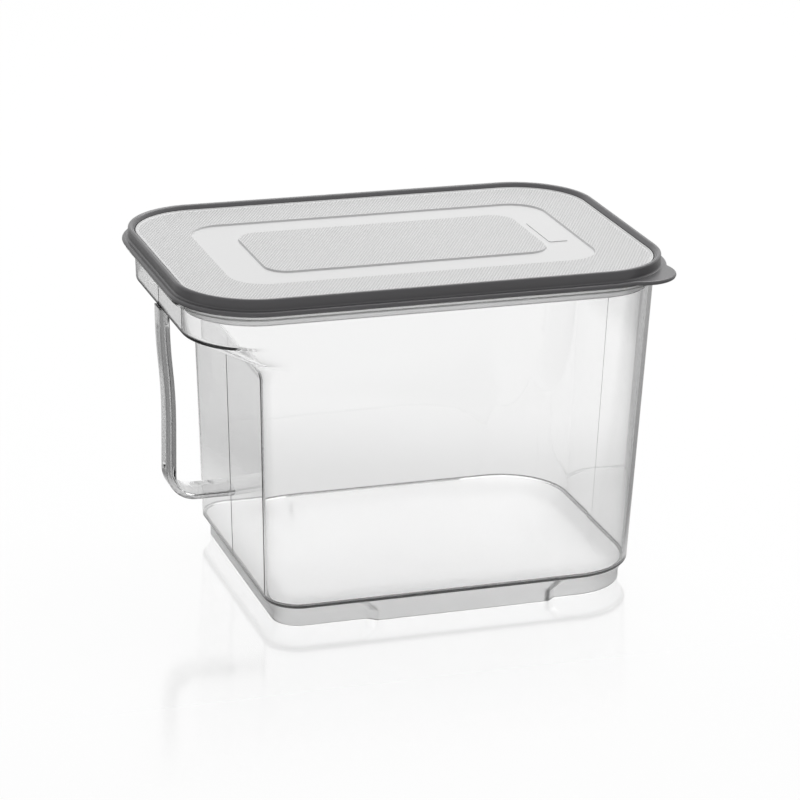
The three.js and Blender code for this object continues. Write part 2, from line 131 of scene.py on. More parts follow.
def linear(code: str) -> tuple[float, float, float, float]:
    """Turns an sRGB hex colour into linear light.

    Args:
        code: Six hex digits after a hash sign.

    Returns:
        Red, green, blue and an alpha of one.
    """
    light = []
    for start in (1, 3, 5):
        share = int(code[start : start + 2], 16) / FULL_BYTE
        curve = ((share + SRGB_LIFT) / (1 + SRGB_LIFT)) ** SRGB_POWER
        light.append(share / SRGB_SLOPE if share <= SRGB_FOOT else curve)
    return (light[0], light[1], light[2], 1.0)


def add_node(tree: Tree, kind: str, settings: Settings | None = None, inputs: Inputs = ()) -> bpy.types.Node:
    """Adds a node with its settings, input values and links.

    Args:
        tree: The tree that gets the node.
        kind: The node's type name, after its usual first word.
        settings: Properties of the node.
        inputs: Values to set, or outputs to link from, in the order of the inputs or by name or number. A
            node stands for its first output.

    Returns:
        The new node.
    """
    node = tree.nodes.new("ShaderNode" + kind)
    for name, value in (settings or {}).items():
        setattr(node, name, value)
    for key, value in inputs.items() if isinstance(inputs, dict) else enumerate(inputs):
        if isinstance(value, bpy.types.Node):
            tree.links.new(value.outputs[0], node.inputs[key])
        elif isinstance(value, Socket):
            tree.links.new(value, node.inputs[key])
        else:
            node.inputs[key].default_value = value
    return node


def new_material(name: str) -> tuple[Material, Tree]:
    """Makes an empty node material.

    Args:
        name: The material's name.

    Returns:
        The material and its cleared node tree.
    """
    material = bpy.data.materials.new(name)
    material.use_nodes = True
    material.node_tree.nodes.clear()
    return material, material.node_tree


# Finishes, with their sizes in millimetres


@dataclass(frozen=True)
class ClearStyrene:
    """Injection-moulded styrene acrylonitrile: hard, glossy and clear, greyer where light runs along it.

    The underside below the etched level is finely etched and scatters what is seen through the floor. A grey
    band is painted round the walls at the floor plate's level: painted shade for the dark line along the
    bottom edge.
    """

    name: str
    tint: str = "#FEFEFE"
    depth_tint: str = "#949494"
    depth_per_metre: float = 22.0
    ior: float = 1.52
    roughness: float = 0.012
    etched_level: float = 0.0
    etched_blend: float = 0.1
    etched_roughness: float = 0.3
    painted_line_level: float = 0.0
    painted_line_half: float = 0.85
    painted_line_shade: str = "#4A4A4A"
    lamp_share: float = 0.8
    flow_width: float = 38.46
    flow_detail: float = 1.0
    flow_height: float = 0.04

    def build(self) -> Material:
        """Makes the clear plastic, with the faint waves that the melt leaves as it fills the mould.

        Returns:
            The finished material.
        """
        material, tree = new_material(self.name)
        place = add_node(tree, "TexCoord").outputs["Object"]
        waves = {"Vector": place, "Scale": 1 / (self.flow_width * MM), "Detail": self.flow_detail}
        flow = add_node(tree, "TexNoise", inputs=waves)
        bump = add_node(tree, "Bump", inputs={"Height": flow, "Distance": self.flow_height * MM})
        # The polished mould leaves it as smooth as glass: highlights are sharp and the walls look clear
        looks = {"Roughness": self.roughness, "IOR": self.ior, "Transmission Weight": 1.0, "Normal": bump}
        gloss = add_node(tree, "BsdfPrincipled", inputs={"Base Color": linear(self.tint), **looks})
        if self.etched_level > 0:
            level = add_node(tree, "SeparateXYZ", inputs=[place]).outputs["Z"]
            start = self.etched_level * MM
            blend = [level, start, start + self.etched_blend * MM, self.etched_roughness, self.roughness]
            etched = add_node(tree, "MapRange", inputs=blend)
            tree.links.new(etched.outputs[0], gloss.inputs["Roughness"])
            # Painted shade: a grey band round the floor plate's level stands in for the dark line along the
            # bottom edge
            band = [level, self.painted_line_level * MM, self.painted_line_half * MM]
            on_painted_line = add_node(tree, "Math", {"operation": "COMPARE"}, band)
            painted_line_tints = {0: on_painted_line, 6: linear(self.tint), 7: linear(self.painted_line_shade)}
            edge = add_node(tree, "Mix", COLOURS, painted_line_tints)
            tree.links.new(edge.outputs[2], gloss.inputs["Base Color"])
        path = add_node(tree, "LightPath")
        passed = add_node(tree, "Math", TIMES, [path.outputs["Is Shadow Ray"], self.lamp_share])
        clear = add_node(tree, "BsdfTransparent", inputs=[linear(self.tint)])
        surface = add_node(tree, "MixShader", inputs=[passed, gloss, clear])
        depth = add_node(tree, "VolumeAbsorption", inputs=[linear(self.depth_tint), self.depth_per_metre])
        add_node(tree, "OutputMaterial", inputs=[surface, depth])
        return material


@dataclass(frozen=True)
class SatinElastomer:
    """Dark grey thermoplastic elastomer moulded round the panel: satin, slightly soft, finely grained.

    The grain is drawn a little coarser than the real one, which would be too fine to show.
    """

    name: str = "satin_elastomer"
    shade: str = "#5A595B"
    worn_shade: str = "#616062"
    roughness: float = 0.3
    sheen: float = 0.15
    sheen_roughness: float = 0.3
    ior: float = 1.5
    cloud_width: float = 33.33
    cloud_detail: float = 3.0
    grain_width: float = 0.4545
    grain_detail: float = 1.0
    grain_height: float = 0.02
    grain_strength: float = 0.6

    def build(self) -> Material:
        """Makes the elastomer with its cloudy tone and fine grain.

        Returns:
            The finished material.
        """
        material, tree = new_material(self.name)
        place = add_node(tree, "TexCoord").outputs["Object"]
        clouds = {"Vector": place, "Scale": 1 / (self.cloud_width * MM), "Detail": self.cloud_detail}
        cloud = add_node(tree, "TexNoise", inputs=clouds)
        shades = {0: cloud, 6: linear(self.shade), 7: linear(self.worn_shade)}
        tone = add_node(tree, "Mix", COLOURS, shades)
        grains = {"Vector": place, "Scale": 1 / (self.grain_width * MM), "Detail": self.grain_detail}
        grain = add_node(tree, "TexNoise", inputs=grains)
        relief = {"Height": grain, "Distance": self.grain_height * MM, "Strength": self.grain_strength}
        bump = add_node(tree, "Bump", inputs=relief)
        # The grained mould and the soft surface spread the highlight into an even sheen
        looks = {
            "Base Color": tone.outputs[2],
            "Roughness": self.roughness,
            "IOR": self.ior,
            "Sheen Weight": self.sheen,
            "Sheen Roughness": self.sheen_roughness,
            "Normal": bump,
        }
        satin = add_node(tree, "BsdfPrincipled", inputs=looks)
        add_node(tree, "OutputMaterial", inputs=[satin])
        return material


@dataclass(frozen=True)
class MouldedPolypropylene:
    """Light grey polypropylene: satin where it is smooth, and pressed with small diagonal studs elsewhere.

    The studs are drawn a little coarser than the real ones, which would be too fine to show, and the hollows
    between them get painted shade.
    """

    name: str
    shade: str = "#DCDCDC"
    painted_hollow_shade: str = "#BCBCBC"
    roughness: float = 0.36
    ior: float = 1.49
    clear_share: float = 0.0
    cloud_width: float = 2.0
    cloud_detail: float = 2.0
    cloud_height: float = 0.01
    stud_pitch: float = 0.0
    stud_turn: float = 30.0
    stud_break: float = 0.8
    stud_low: float = -1.0
    stud_high: float = 0.9
    stud_height: float = 0.25
    relief: float = 0.8

    def build(self) -> Material:
        """Makes the panel's plastic, studded where a stud pitch is set.

        Returns:
            The finished material.
        """
        material, tree = new_material(self.name)
        place = add_node(tree, "TexCoord").outputs["Object"]
        colour: object = linear(self.shade)
        if self.stud_pitch > 0:
            height = self.studs(tree, place)
            reach = self.stud_height
            # Painted shade: the hollows between the studs take the darker hollow colour
            shades = {0: height, 6: linear(self.painted_hollow_shade), 7: colour}
            colour = add_node(tree, "Mix", COLOURS, shades).outputs[2]
        else:
            clouds = {"Vector": place, "Scale": 1 / (self.cloud_width * MM), "Detail": self.cloud_detail}
            height = add_node(tree, "TexNoise", inputs=clouds).outputs["Fac"]
            reach = self.cloud_height
        relief = {"Height": height, "Distance": reach * MM, "Strength": self.relief}
        bump = add_node(tree, "Bump", inputs=relief)
        # The dull mould gives a soft sheen, and the light catches one side of every stud
        looks = {
            "Base Color": colour,
            "Roughness": self.roughness,
            "IOR": self.ior,
            "Transmission Weight": self.clear_share,
            "Normal": bump,
        }
        satin = add_node(tree, "BsdfPrincipled", inputs=looks)
        add_node(tree, "OutputMaterial", inputs=[satin])
        return material

    def studs(self, tree: Tree, place: Socket) -> Socket:
        """Draws a diagonal grid of small studs.

        Args:
            tree: The material's tree.
            place: The place on the piece.

        Returns:
            A height from zero between studs to one on them.
        """
        turn = (0.0, 0.0, math.radians(self.stud_turn))
        turned = add_node(tree, "Mapping", inputs={"Vector": place, "Rotation": turn})
        axes = add_node(tree, "SeparateXYZ", inputs=[turned])
        waves = []
        for axis in ("X", "Y"):
            run = add_node(tree, "Math", TIMES, [axes.outputs[axis], 2 * math.pi / (self.stud_pitch * MM)])
            waves.append(add_node(tree, "Math", {"operation": "SINE"}, [run]))
        both = add_node(tree, "Math", TIMES_PLUS, [waves[1], self.stud_break, waves[0]])
        shaped = add_node(tree, "MapRange", SMOOTH, [both, self.stud_low, self.stud_high])
        return shaped.outputs[0]


# Mesh helpers


def place_ring(verts: Sequence[Vert], ring: Sequence[Vector]) -> None:
    """Moves a ring of vertices to its places.

    Args:
        verts: The vertices in order.
        ring: Their places in millimetres, in the same order.
    """
    for vert, spot in zip(verts, ring):
        vert.co = spot * MM


def ring_edges(mesh: Mesh, verts: Sequence[Vert]) -> list[Edge]:
    """Gives the edges that join a ring's vertices.

    Args:
        mesh: The mesh that holds them.
        verts: The ring's vertices in order.

    Returns:
        One edge for each neighbouring pair.
    """
    return [mesh.edges.get((verts[i - 1], verts[i])) for i in range(len(verts))]


def raise_skin(
    mesh: Mesh, rings: Sequence[Sequence[Vector]], closed: bool, finishes: Sequence[int] | None = None
) -> list[Face]:
    """Extrudes one ring through a row of places into a closed skin.

    Args:
        mesh: The mesh that gets the skin.
        rings: Ring places in millimetres, all of one count.
        closed: True where the last ring joins the first, False where both ends get a cap.
        finishes: The material index of the band after each ring.

    Returns:
        The new faces.
    """
    count = len(rings[0])
    made = bmesh.ops.create_circle(mesh, cap_ends=False, radius=1.0, segments=count)
    verts = list(made["verts"])
    first = verts
    place_ring(verts, rings[0])
    faces: list[Face] = []
    for number, ring in enumerate(rings[1:]):
        grown = bmesh.ops.extrude_edge_only(mesh, edges=ring_edges(mesh, verts))["geom"]
        fresh = {item for item in grown if isinstance(item, Vert)}
        band = [item for item in grown if isinstance(item, Face)]
        upper = []
        for vert in verts:
            upper.append(next(e.other_vert(vert) for e in vert.link_edges if e.other_vert(vert) in fresh))
        place_ring(upper, ring)
        for face in band:
            face.material_index = finishes[number] if finishes else 0
        faces.extend(band)
        verts = upper
    if closed:
        loops = ring_edges(mesh, verts) + ring_edges(mesh, first)
        faces.extend(bmesh.ops.bridge_loops(mesh, edges=loops)["faces"])
    else:
        for end, number in ((first, 0), (verts, len(rings) - 1)):
            cap = bmesh.ops.contextual_create(mesh, geom=ring_edges(mesh, end))["faces"]
            for face in cap:
                face.material_index = finishes[number] if finishes else 0
            faces.extend(cap)
    return faces


def corner(x: float, y: float, radius: float, start: float, steps: int = CORNER_STEPS) -> list[Pair]:
    """Gives the points of a quarter round.

    Args:
        x: The centre's place along the box.
        y: The centre's place across the box.
        radius: The corner's radius.
        start: The angle where it starts.
        steps: How many parts it has.

    Returns:
        Points anticlockwise.
    """
    points = []
    for step in range(steps + 1):
        angle = start + QUARTER * step / steps
        points.append((x + radius * math.cos(angle), y + radius * math.sin(angle)))
    return points


@dataclass(frozen=True)
class Outline:
    """A rounded box outline seen from above, in millimetres."""

    left: float
    right: float
    half_width: float
    left_radius: float
    right_radius: float
    ridge: float = 0.0
    stops: tuple[Pair, ...] = ()
    steps: int = CORNER_STEPS

    def ring(self, level: float, shift: float) -> list[Vector]:
        """Gives the outline anticlockwise from the middle of its right end, at a level.

        Args:
            level: The height above the ground.
            shift: How far it is moved along the box.

        Returns:
            Its points in space, with the stops on both long sides.
        """
        left_x = self.left + self.left_radius
        right_x = self.right - self.right_radius
        left_y = self.half_width - self.left_radius
        right_y = self.half_width - self.right_radius
        row: list[Pair] = [(self.right + self.ridge, 0.0), (self.right, RIDGE_HALF)]
        row += corner(right_x, right_y, self.right_radius, 0.0, self.steps)
        row += [(x, half) for x, half in reversed(self.stops)]
        row += corner(left_x, left_y, self.left_radius, QUARTER, self.steps)
        row += [(self.left, RIDGE_HALF), (self.left - self.ridge, 0.0), (self.left, -RIDGE_HALF)]
        row += corner(left_x, -left_y, self.left_radius, 2 * QUARTER, self.steps)
        row += [(x, -half) for x, half in self.stops]
        row += corner(right_x, -right_y, self.right_radius, 3 * QUARTER, self.steps)
        row.append((self.right, -RIDGE_HALF))
        return [Vector((x + shift, y, level)) for x, y in row]


def round_edges(mesh: Mesh, edges: Sequence[Edge], radius: float, segments: int) -> None:
    """Rounds edges off.

    Args:
        mesh: The mesh that holds them.
        edges: The edges.
        radius: How far the round reaches, in millimetres.
        segments: How many parts it has.
    """
    bmesh.ops.bevel(
        mesh,
        geom=edges,
        offset=radius * MM,
        offset_type="OFFSET",
        segments=segments,
        profile=0.5,
        affect="EDGES",
        material=-1,
    )


def add_object(name: str, data: bpy.types.ID) -> bpy.types.Object:
    """Puts an object into the scene.

    Args:
        name: Its name.
        data: Its mesh, lamp or camera.

    Returns:
        The new object.
    """
    thing = bpy.data.objects.new(name, data)
    bpy.context.scene.collection.objects.link(thing)
    return thing


def finished_piece(
    name: str,
    mesh: Mesh,
    materials: Sequence[Material],
    body: Body,
    slot: Slot,
    node: str,
) -> bpy.types.Object:
    """Turns a mesh into a piece that rides on its body in place of its CAD node.

    Args:
        name: The piece's name.
        mesh: The mesh, which is freed.
        materials: Its materials by index.
        body: The body that it rides on.
        slot: The record's slot of its finish; not used.
        node: The CAD node that it stands for.

    Returns:
        The finished object.
    """
    bmesh.ops.recalc_face_normals(mesh, faces=mesh.faces[:])
    for face in mesh.faces:
        face.smooth = True
    for edge in mesh.edges:
        edge.smooth = len(edge.link_faces) == 2 and edge.calc_face_angle(0.0) < SHARP_ANGLE
    data = bpy.data.meshes.new(name)
    mesh.to_mesh(data)
    mesh.free()
    for material in materials:
        data.materials.append(material)
    piece = add_object(name, data)
    weigh = piece.modifiers.new("face_weight", "WEIGHTED_NORMAL")
    weigh.keep_sharp = True
    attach(piece, body.value)
    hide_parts(node)
    return piece


# The moulded shell


@dataclass
class ClearShell:
    """The clear moulded box: tapered walls, stepped end, rim, raised floor and foot ring."""

    shift: float
    brim: float = 164.0
    rim_half_length: float = 119.0
    rim_half_width: float = 78.0
    rim_radius: float = 35.6
    wall: float = 1.8
    draft: float = 0.034
    step_drop: float = 18.7
    step_depth: float = 33.4
    step_slope: float = 0.4
    step_edge: float = 1.2
    step_inner_edge: float = 0.8
    step_fillet: float = 7.0
    end_draft: float = 0.036
    end_radius: float = 17.0
    ridge: float = 0.2
    flange_reach: float = 4.5
    flange_thick: float = 2.4
    flange_edge: float = 0.5
    upstand: float = 2.3
    upstand_edge: float = 0.4
    floor_under: float = 10.4
    floor_thick: float = 1.8
    etch_margin: float = 0.05
    bottom_edge: float = 1.2
    floor_fillet: float = 0.8
    foot_inset: float = 4.0
    foot_bevel_inset: float = 1.15
    foot_face: float = 5.0
    foot_wall: float = 2.0
    foot_edge: float = 0.25
    skirt_inset: float = 0.5
    skirt_top_half: float = 49.5
    skirt_bottom_half: float = 44.0
    skirt_run: float = 5.5
    skirt_steps: int = 6
    arc_steps: int = 10

    @property
    def step_level(self) -> float:
        """Gives the level of the step's outer edge."""
        return self.brim - self.step_drop

    @property
    def step_wall_top(self) -> float:
        """Gives the place of the recessed end wall at the step's level."""
        return self.step_depth - self.rim_half_length

    def end_wall(self, level: float) -> float:
        """Gives the place of the recessed end wall at a level."""
        return self.step_wall_top + self.end_draft * (self.step_level - level)

    def right_end(self, level: float) -> float:
        """Gives the place of the round end wall at a level."""
        return self.rim_half_length - self.draft * (self.brim - level)

    @property
    def skirt_middle(self) -> float:
        """Gives the middle of the flush stretch of the foot."""
        return (self.end_wall(self.floor_under) + self.right_end(self.floor_under)) / 2

    def stops(self, half: float, inside: float, outside: float) -> tuple[Pair, ...]:
        """Gives the points where the foot swings from set in to flush and back.

        Args:
            half: Half the length of the flush stretch.
            inside: The half width of the box in that stretch.
            outside: The half width beyond it.

        Returns:
            Places along the box with their half widths.
        """
        rising = []
        for step in range(self.skirt_steps + 1):
            share = step / self.skirt_steps
            swing = share * share * (3 - 2 * share)
            away = half + self.skirt_run * (1 - share)
            rising.append((away, outside + (inside - outside) * swing))
        low_end = [(self.skirt_middle - away, width) for away, width in rising]
        high_end = [(self.skirt_middle + away, width) for away, width in reversed(rising)]
        return tuple(low_end + high_end)

    def ring(
        self, inset: float, level: float, left: float, left_radius: float, ridge: float = 0.0
    ) -> list[Vector]:
        """Gives one level of the walls.

        Args:
            inset: How far it lies inside the outer wall.
            level: The level above the ground.
            left: The place of the outer wall at the handle's end.
            left_radius: The outer radius of the corners there.
            ridge: The height of the parting ridge.

        Returns:
            The ring's places.
        """
        run = self.draft * (self.brim - level)
        half = self.rim_half_width - run - inset
        line = Outline(
            left=left + inset,
            right=self.rim_half_length - run - inset,
            half_width=half,
            left_radius=left_radius - inset,
            right_radius=self.rim_radius - inset,
            ridge=ridge,
            stops=self.stops(self.skirt_top_half, half, half),
        )
        return line.ring(level, self.shift)

    def wall_ring(self, inset: float, level: float, ridge: float = 0.0) -> list[Vector]:
        """Gives a ring of the walls below the step."""
        return self.ring(inset, level, self.end_wall(level), self.end_radius, ridge)

    def rim_ring(self, inset: float, level: float, ridge: float = 0.0) -> list[Vector]:
        """Gives a ring of the walls above the step."""
        left = self.draft * (self.brim - level) - self.rim_half_length
        return self.ring(inset, level, left, self.rim_radius, ridge)

    def foot_ring(self, level: float, inset: float, flush: float, half: float) -> list[Vector]:
        """Gives a ring of the foot.

        Args:
            level: The level above the ground.
            inset: The inset at the corners and ends.
            flush: The inset in the flush stretch.
            half: Half the length of the flush stretch.

        Returns:
            The ring's places.
        """
        run = self.draft * (self.brim - self.floor_under)
        width = self.rim_half_width - run
        line = Outline(
            left=self.end_wall(self.floor_under) + inset,
            right=self.right_end(self.floor_under) - inset,
            half_width=width - inset,
            left_radius=self.end_radius - inset,
            right_radius=self.rim_radius - inset,
            stops=self.stops(half, width - flush, width - inset),
        )
        return line.ring(level, self.shift)

    def foot_rings(self) -> list[list[Vector]]:
        """Gives the rings from the middle of the underside out, down and up round the foot.

        Returns:
            The rings in order.
        """
        deep = self.foot_wall
        wide = self.foot_inset
        flush = self.skirt_inset
        top_in = self.foot_bevel_inset + deep
        low_in = wide + deep
        flush_in = flush + deep
        top_half = self.skirt_top_half - deep
        low_half = self.skirt_bottom_half - deep
        edge = self.foot_edge
        under = self.floor_under
        rows = [
            (under, low_in + 2 * deep, low_in + 2 * deep, top_half),
            (under, top_in + edge, flush_in + edge, top_half),
            (under - edge, top_in, flush_in, top_half),
            (self.foot_face, low_in, flush_in, low_half),
            (edge, low_in, flush_in, low_half),
            (0.0, low_in - edge, flush_in - edge, low_half),
            (0.0, wide + edge, flush + edge, self.skirt_bottom_half),
            (edge, wide, flush, self.skirt_bottom_half),
            (self.foot_face, wide, flush, self.skirt_bottom_half),
            (under, self.foot_bevel_inset, flush, self.skirt_top_half),
        ]
        return [self.foot_ring(*row) for row in rows]

    def bottom_round(self) -> list[list[Vector]]:
        """Gives the rounded edge where the walls meet the floor.

        Returns:
            Its rings from the floor up.
        """
        edge = self.bottom_edge
        pairs = corner(edge, self.floor_under + edge, edge, 2 * QUARTER, self.arc_steps)[-2::-1]
        return [self.wall_ring(inset, level, self.ridge) for inset, level in pairs]

    def step_rings(self, inset: float) -> list[list[Vector]]:
        """Gives the rings down the step, from its edge to the end wall.

        Args:
            inset: How far they lie inside the outer wall.

        Returns:
            The rings from the top down.
        """
        end = self.draft * self.step_drop - self.rim_half_length
        slope = Vector((1.0, -self.step_slope)).normalized()
        lift = inset / slope.x

        def slope_at(x: float) -> float:
            """Gives the slope's level at a place along the box."""
            return self.step_level + lift - (x - end) * self.step_slope

        edge = Vector((end + inset, slope_at(end + inset)))
        meet = Vector((self.step_wall_top + inset, slope_at(self.step_wall_top + inset)))
        edge_radius = self.step_inner_edge if inset > 0 else self.step_edge
        fillet = self.step_fillet + inset
        low = meet.y - fillet
        start = edge + Vector((0.0, edge_radius))
        finish = Vector((self.end_wall(low) + inset, low))
        curves = [(start, edge, edge + slope * edge_radius), (meet - slope * fillet, meet, finish)]
        ridge = 0.0 if inset > 0 else self.ridge
        rings = []
        for first, middle, last in curves:
            for step in range(self.arc_steps + 1):
                share = step / self.arc_steps
                spot = first.lerp(middle, share).lerp(middle.lerp(last, share), share)
                blend = (spot.x - start.x) / (finish.x - start.x)
                radius = self.rim_radius + (self.end_radius - self.rim_radius) * blend
                rings.append(self.ring(inset, spot.y, spot.x - inset, radius, ridge))
        return rings

    def rings(self) -> list[list[Vector]]:
        """Gives every ring of the shell, from the underside up, over the rim and down to the floor.

        Returns:
            The rings in order.
        """
        under = self.brim - self.flange_thick
        top = self.brim + self.upstand
        edge = self.flange_edge
        reach = self.flange_reach
        rings = self.foot_rings() + self.bottom_round() + self.step_rings(0.0)[::-1]
        rings.append(self.rim_ring(0.0, under, self.ridge))
        for inset, level in (
            (edge - reach, under),
            (-reach, under + edge),
            (-reach, self.brim - edge),
            (edge - reach, self.brim),
            (0.0, self.brim),
            (0.0, top - self.upstand_edge),
            (self.upstand_edge, top),
            (self.wall - self.upstand_edge, top),
            (self.wall, top - self.upstand_edge),
        ):
            rings.append(self.rim_ring(inset, level))
        rings += self.step_rings(self.wall)
        fillet = self.floor_fillet
        middle = self.floor_under + self.floor_thick + fillet
        for inset, level in corner(self.wall + fillet, middle, fillet, 2 * QUARTER, self.arc_steps):
            rings.append(self.wall_ring(inset, level))
        return rings

    def build(self, plastic: Material) -> bpy.types.Object:
        """Moulds the shell.

        Args:
            plastic: Its clear plastic.

        Returns:
            The shell.
        """
        mesh = bmesh.new()
        raise_skin(mesh, self.rings(), closed=False)
        return finished_piece("clear_shell", mesh, [plastic], Body.BOX, Slot.CLEAR, "container_body")


# The strap handle


@dataclass
class StrapHandle:
    """The strap that drops from the step, bends round and meets the end wall, with a long thumb channel."""

    shell: ClearShell
    outer_width: float = 12.4
    inner_width: float = 18.4
    thickness: float = 4.0
    edge: float = 0.7
    edge_share: float = 0.29
    inner_edge_share: float = 0.2
    proud: float = 0.9
    lean: float = 3.2
    lean_run: float = 65.0
    under_level: float = 45.8
    bend_radius: float = 15.0
    channel_width: float = 5.6
    channel_depth: float = 1.0
    channel_wall: float = 0.35
    channel_least: float = 0.42
    channel_top_drop: float = 8.0
    channel_bottom: float = 62.0
    bury: float = 6.0
    seat: float = 0.05
    lean_steps: int = 54
    drop_steps: int = 36
    bend_steps: int = 18
    level_share: float = 0.5

    def path(self) -> list[tuple[Vector, Vector]]:
        """Gives places and directions along the strap's middle line, from the top down.

        Returns:
            Pairs of place and direction in the plane of the handle.
        """
        shell = self.shell
        half = self.thickness / 2
        top_x = shell.draft * shell.step_drop - shell.rim_half_length - self.proud + half
        low_x = top_x + self.lean
        top_level = shell.step_level + self.bury / 2
        low_level = top_level - self.lean_run
        arm = self.under_level + half
        bend = self.bend_radius - half
        start = Vector((top_x, top_level))
        leave = Vector((top_x, top_level - self.lean_run / 2))
        join = Vector((low_x, low_level + self.lean_run / 2))
        straight = Vector((low_x, low_level))
        row = []
        for step in range(self.lean_steps):
            share = step / self.lean_steps
            middle = leave.lerp(join, share)
            one = start.lerp(leave, share).lerp(middle, share)
            two = middle.lerp(join.lerp(straight, share), share)
            row.append((one.lerp(two, share), (two - one).normalized()))
        drop = Vector((0.0, -1.0))
        low = arm + bend
        for step in range(self.drop_steps):
            level = straight.y + (low - straight.y) * step / self.drop_steps
            row.append((Vector((low_x, level)), drop))
        for step in range(self.bend_steps):
            angle = math.pi + QUARTER * step / self.bend_steps
            spot = Vector((low_x + bend * (1 + math.cos(angle)), low + bend * math.sin(angle)))
            row.append((spot, Vector((-math.sin(angle), math.cos(angle)))))
        along = Vector((1.0, 0.0))
        row.append((Vector((low_x + bend, arm)), along))
        row.append((Vector((shell.end_wall(arm) + self.bury, arm)), along))
        return row

    def channel_at(self, level: float, direction: Vector) -> Pair:
        """Gives the channel's half width and depth at a level.

        Args:
            level: The level above the ground.
            direction: The strap's direction there.

        Returns:
            Half the width, then the depth.
        """
        half = self.channel_width / 2
        top = self.shell.step_level - self.channel_top_drop
        past = max(self.channel_bottom + half - level, level - (top - half), 0.0)
        if past >= half or direction.x > self.level_share:
            return self.channel_least, 0.0
        width = max(math.sqrt(half * half - past * past), self.channel_least)
        depth = self.channel_depth * min(1.0, (half - past) / self.channel_wall)
        return width, depth

    def section(self, level: float, direction: Vector) -> list[Pair]:
        """Gives the strap's section as outward and across pairs.

        Args:
            level: The level above the ground.
            direction: The strap's direction there.

        Returns:
            Its points in order.
        """
        half = self.thickness / 2
        outer = self.outer_width / 2
        inner = self.inner_width / 2
        edge = self.edge
        cut = self.edge_share * edge
        width, depth = self.channel_at(level, direction)
        side = [
            (half - depth, width - self.channel_wall),
            (half, width),
            (half, outer - edge),
            (half - cut, outer - cut),
            (half - edge, outer),
            (edge - half, inner),
            (cut - half, inner - self.inner_edge_share * edge),
            (-half, inner - edge),
        ]
        return side + [(out, -across) for out, across in reversed(side)]

    def build(self, plastic: Material) -> bpy.types.Object:
        """Moulds the strap and trims its ends flat against the shell.

        Args:
            plastic: Its clear plastic.

        Returns:
            The handle.
        """
        rings = []
        for spot, direction in self.path():
            ring = []
            for out, across in self.section(spot.y, direction):
                x = spot.x + direction.y * out
                z = spot.y - direction.x * out
                ring.append(Vector((x + self.shell.shift, across, z)))
            rings.append(ring)
        mesh = bmesh.new()
        raise_skin(mesh, rings, closed=False)
        shell = self.shell
        end = shell.draft * shell.step_drop - shell.rim_half_length + shell.shift
        under = Vector((end, 0.0, shell.step_level - self.seat)) * MM
        self.trim(mesh, under, Vector((shell.step_slope, 0.0, 1.0)))
        face = shell.end_wall(self.under_level) + shell.shift - self.seat
        wall = Vector((face, 0.0, self.under_level)) * MM
        self.trim(mesh, wall, Vector((1.0, 0.0, shell.end_draft)))
        bmesh.ops.remove_doubles(mesh, verts=mesh.verts[:], dist=MERGE_GAP * MM)
        return finished_piece("strap_handle", mesh, [plastic], Body.BOX, Slot.CLEAR_HANDLE, "handle")

    @staticmethod
    def trim(mesh: Mesh, spot: Vector, outward: Vector) -> None:
        """Cuts off what lies beyond a plane and closes the end.

        Args:
            mesh: The strap's mesh.
            spot: A point on the plane.
            outward: The plane's direction towards what goes.
        """
        everything = mesh.verts[:] + mesh.edges[:] + mesh.faces[:]
        plane = {"plane_co": spot, "plane_no": outward.normalized()}
        cut = bmesh.ops.bisect_plane(mesh, geom=everything, **plane, clear_outer=True)
        loop = [item for item in cut["geom_cut"] if isinstance(item, Edge)]
        bmesh.ops.contextual_create(mesh, geom=loop)


# The lid


@dataclass
class LidSizes:
    """The sizes that the lid's rim and panel share, in millimetres."""

    shift: float
    seat: float = 164.0
    half_length: float = 125.0
    half_width: float = 84.0
    radius: float = 41.6
    flange_thick: float = 2.2
    flange_edge: float = 1.08
    flange_reach: float = 2.9
    flange_fillet: float = 0.9
    bead_height: float = 7.8
    bead_width: float = 3.4
    bead_outer: float = 1.1
    bead_drop: float = 2.2
    gap: float = 0.3
    body_inset: float = 6.0
    body_wall: float = 1.8
    upstand: float = 2.3
    plug_off: float = 0.9
    plug_thick: float = 1.5
    plug_depth: float = 7.0
    lip_height: float = 0.9
    lip_first: float = 1.6
    lip_pitch: float = 2.6
    lip_lead: float = 0.15
    lip_flat: float = 0.1125
    panel_top: float = 5.2
    panel_thick: float = 1.7

    @property
    def pocket(self) -> float:
        """Gives the inset of the pocket that takes the panel."""
        return self.flange_reach + self.bead_width

    @property
    def web(self) -> float:
        """Gives the rise of the web under the panel."""
        return self.panel_top - self.panel_thick

    @property
    def plug_outer(self) -> float:
        """Gives the inset of the plug's outer face."""
        return self.body_inset + self.body_wall + self.plug_off

    def ring(
        self, inset: float, rise: float, shape: Shape | None = None, steps: int = CORNER_STEPS
    ) -> list[Vector]:
        """Gives a ring of the lid.

        Args:
            inset: How far it lies inside the shape's edge.
            rise: How far it lies above the lid's seat.
            shape: Half the length, half the width and the corner radius, where they aren't the lid's own.
            steps: The parts in each corner.

        Returns:
            Its places.
        """
        length, width, radius = shape or (self.half_length, self.half_width, self.radius)
        line = Outline(
            left=inset - length,
            right=length - inset,
            half_width=width - inset,
            left_radius=radius - inset,
            right_radius=radius - inset,
            steps=steps,
        )
        return line.ring(self.seat + rise, self.shift)


